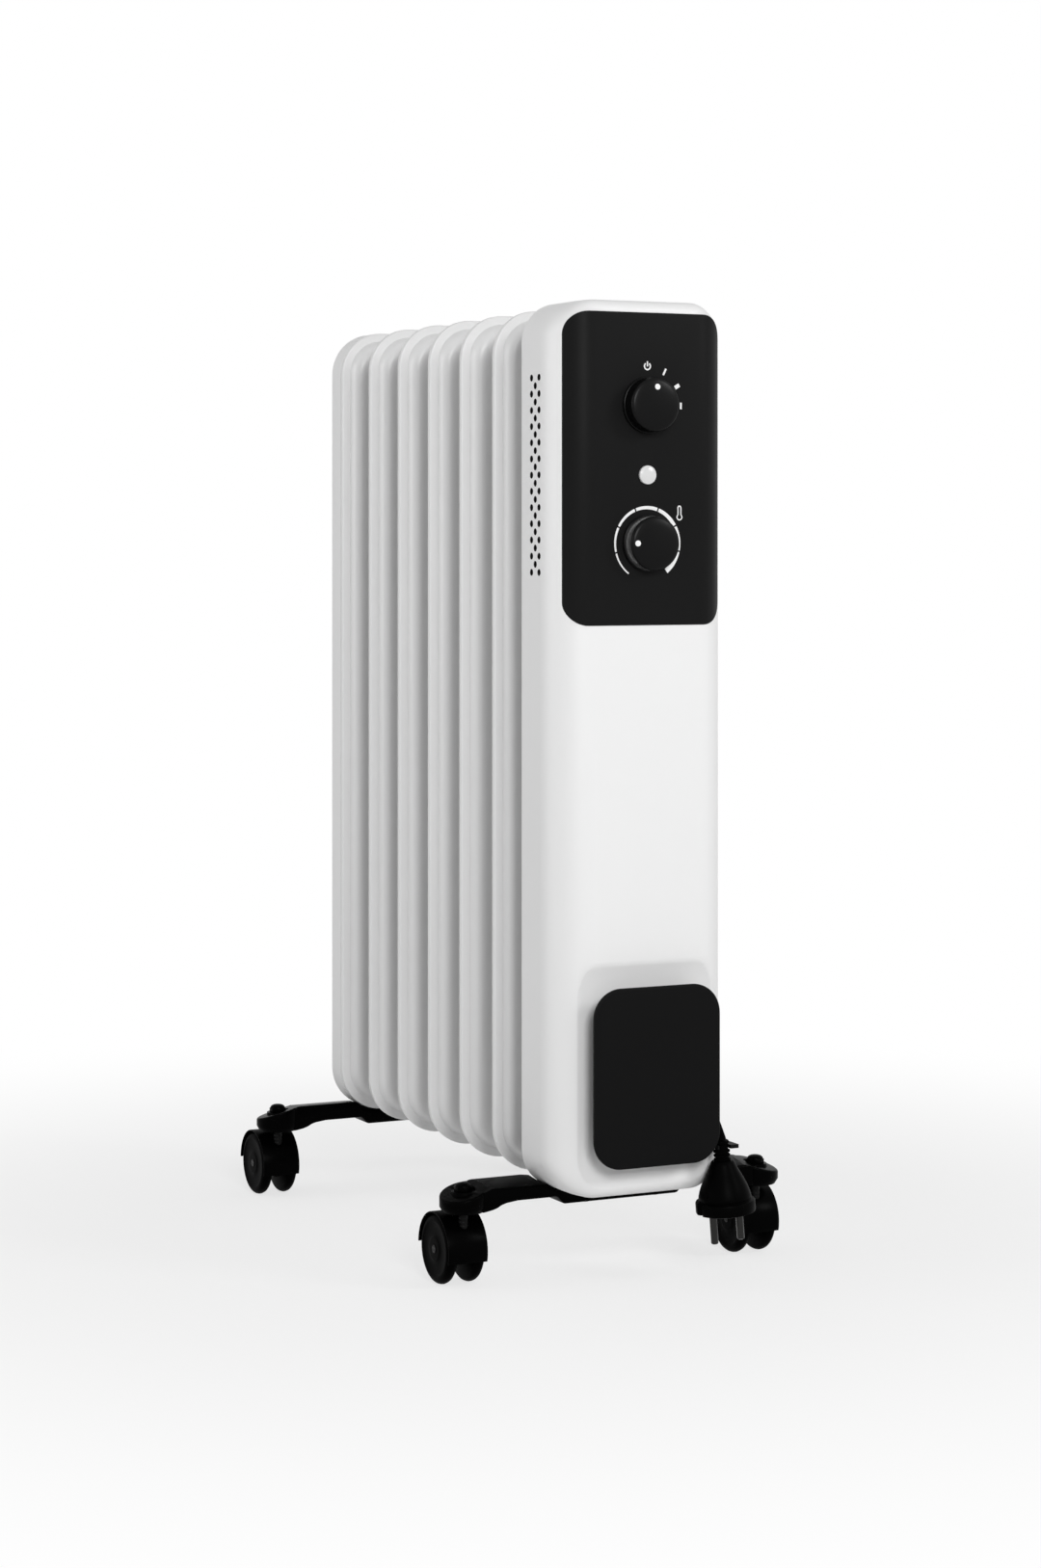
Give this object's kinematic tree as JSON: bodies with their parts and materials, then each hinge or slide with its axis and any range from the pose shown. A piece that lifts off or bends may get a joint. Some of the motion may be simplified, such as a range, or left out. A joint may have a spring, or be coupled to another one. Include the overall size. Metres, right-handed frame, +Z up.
{
  "type": "oil filled radiator heater",
  "caption": "Upright finned column heater with a slim control panel, a recessed cord winder and two foot bars on swivelling twin-wheel casters.",
  "frame": {"origin": "on the floor under the middle of the standing heater's bounding box, its cord and plug left out", "axes": "+Z up, +X to the right as seen from the control panel, +Y from the control panel towards the rear cover"},
  "size_m": [0.2418, 0.4305, 0.6213],
  "materials": {
    "white_paint": "satin white stove enamel",
    "white_shell": "satin white moulded",
    "black_gloss": "smooth dark panel",
    "black_plastic": "fine grained black",
    "grey_plastic": "plain moulded grey",
    "white_plastic": "plain moulded white",
    "wheel_plastic": "black tread",
    "plain_steel": "zinc plated",
    "galvanised": "plain sheet",
    "copper_tube": "plain drawn tube",
    "lamp": "frosted lens",
    "cord_rubber": "matt black sheath",
    "pin_brass": "nickel bright"
  },
  "bodies": {
    "heater": {"cap_nuts": "black_plastic", "caster_stems": "plain_steel", "control_panel": "black_gloss", "cord_coil": "cord_rubber", "cord_gland": "cord_rubber", "cord_lead": "cord_rubber", "cord_tail": "cord_rubber", "cord_winder": "black_plastic", "element_flange": "plain_steel", "fin_1": "white_paint", "fin_2": "white_paint", "fin_3": "white_paint", "fin_4": "white_paint", "fin_5": "white_paint", "fin_6": "white_paint", "fin_7": "white_paint", "foot_bolts": "plain_steel", "front_foot_bar": "black_plastic", "front_housing": "white_shell", "header_sleeves": "white_paint", "heat_shield": "galvanised", "heating_element": "copper_tube", "housing_screws": "plain_steel", "lamp_body": "grey_plastic", "lamp_lens": "lamp", "oil_filler_plug": "plain_steel", "plug_body": "black_plastic", "plug_pins": "pin_brass", "plug_strain_relief": "cord_rubber", "rear_cover": "white_shell", "rear_foot_bar": "black_plastic", "selector_body": "grey_plastic", "switch_plate": "galvanised", "terminal_block": "grey_plastic", "thermal_cutout": "plain_steel", "thermostat_body": "grey_plastic", "tilt_switch_case": "white_plastic", "winder_cover": "black_plastic", "wiring_harness": "cord_rubber"},
    "selector": {"selector_knob": "black_plastic", "selector_shaft": "plain_steel"},
    "thermostat": {"thermostat_knob": "black_plastic", "thermostat_shaft": "plain_steel"},
    "pendulum": {"tilt_pendulum": "plain_steel"},
    "front_left_caster": {"front_left_hood": "black_plastic", "front_left_axle": "plain_steel"},
    "front_left_outer_wheel": {"front_left_wheel_outer": "wheel_plastic"},
    "front_left_inner_wheel": {"front_left_wheel_inner": "wheel_plastic"},
    "front_right_caster": {"front_right_hood": "black_plastic", "front_right_axle": "plain_steel"},
    "front_right_outer_wheel": {"front_right_wheel_outer": "wheel_plastic"},
    "front_right_inner_wheel": {"front_right_wheel_inner": "wheel_plastic"},
    "rear_left_caster": {"rear_left_hood": "black_plastic", "rear_left_axle": "plain_steel"},
    "rear_left_outer_wheel": {"rear_left_wheel_outer": "wheel_plastic"},
    "rear_left_inner_wheel": {"rear_left_wheel_inner": "wheel_plastic"},
    "rear_right_caster": {"rear_right_hood": "black_plastic", "rear_right_axle": "plain_steel"},
    "rear_right_outer_wheel": {"rear_right_wheel_outer": "wheel_plastic"},
    "rear_right_inner_wheel": {"rear_right_wheel_inner": "wheel_plastic"}
  },
  "joints": [
    {"name": "selector_turn", "type": "hinge", "parent": "heater", "child": "selector", "pos_m": [0, -0.2, 0.5551], "axis": [0, 1, 0], "range_deg": [0, 90]},
    {"name": "thermostat_turn", "type": "hinge", "parent": "heater", "child": "thermostat", "pos_m": [0, -0.2, 0.468], "axis": [0, 1, 0], "range_deg": [-55, 235]},
    {"name": "pendulum_swing", "type": "hinge", "parent": "heater", "child": "pendulum", "pos_m": [-0.033, -0.174, 0.121], "axis": [1, 0, 0], "range_deg": [-25, 25]},
    {"name": "front_left_swivel", "type": "hinge", "parent": "heater", "child": "front_left_caster", "pos_m": [-0.1059, -0.1453, 0.035], "axis": [0, 0, 1], "continuous": true},
    {"name": "front_left_outer_roll", "type": "hinge", "parent": "front_left_caster", "child": "front_left_outer_wheel", "pos_m": [-0.1148, -0.13, 0.0222], "axis": [1, 0, 0], "continuous": true},
    {"name": "front_left_inner_roll", "type": "hinge", "parent": "front_left_caster", "child": "front_left_inner_wheel", "pos_m": [-0.097, -0.13, 0.0222], "axis": [1, 0, 0], "continuous": true},
    {"name": "front_right_swivel", "type": "hinge", "parent": "heater", "child": "front_right_caster", "pos_m": [0.1059, -0.1453, 0.035], "axis": [0, 0, 1], "continuous": true},
    {"name": "front_right_outer_roll", "type": "hinge", "parent": "front_right_caster", "child": "front_right_outer_wheel", "pos_m": [0.1148, -0.13, 0.0222], "axis": [1, 0, 0], "continuous": true},
    {"name": "front_right_inner_roll", "type": "hinge", "parent": "front_right_caster", "child": "front_right_inner_wheel", "pos_m": [0.097, -0.13, 0.0222], "axis": [1, 0, 0], "continuous": true},
    {"name": "rear_left_swivel", "type": "hinge", "parent": "heater", "child": "rear_left_caster", "pos_m": [-0.1059, 0.1702, 0.035], "axis": [0, 0, 1], "continuous": true},
    {"name": "rear_left_outer_roll", "type": "hinge", "parent": "rear_left_caster", "child": "rear_left_outer_wheel", "pos_m": [-0.1148, 0.1855, 0.0222], "axis": [1, 0, 0], "continuous": true},
    {"name": "rear_left_inner_roll", "type": "hinge", "parent": "rear_left_caster", "child": "rear_left_inner_wheel", "pos_m": [-0.097, 0.1855, 0.0222], "axis": [1, 0, 0], "continuous": true},
    {"name": "rear_right_swivel", "type": "hinge", "parent": "heater", "child": "rear_right_caster", "pos_m": [0.1059, 0.1702, 0.035], "axis": [0, 0, 1], "continuous": true},
    {"name": "rear_right_outer_roll", "type": "hinge", "parent": "rear_right_caster", "child": "rear_right_outer_wheel", "pos_m": [0.1148, 0.1855, 0.0222], "axis": [1, 0, 0], "continuous": true},
    {"name": "rear_right_inner_roll", "type": "hinge", "parent": "rear_right_caster", "child": "rear_right_inner_wheel", "pos_m": [0.097, 0.1855, 0.0222], "axis": [1, 0, 0], "continuous": true}
  ]
}
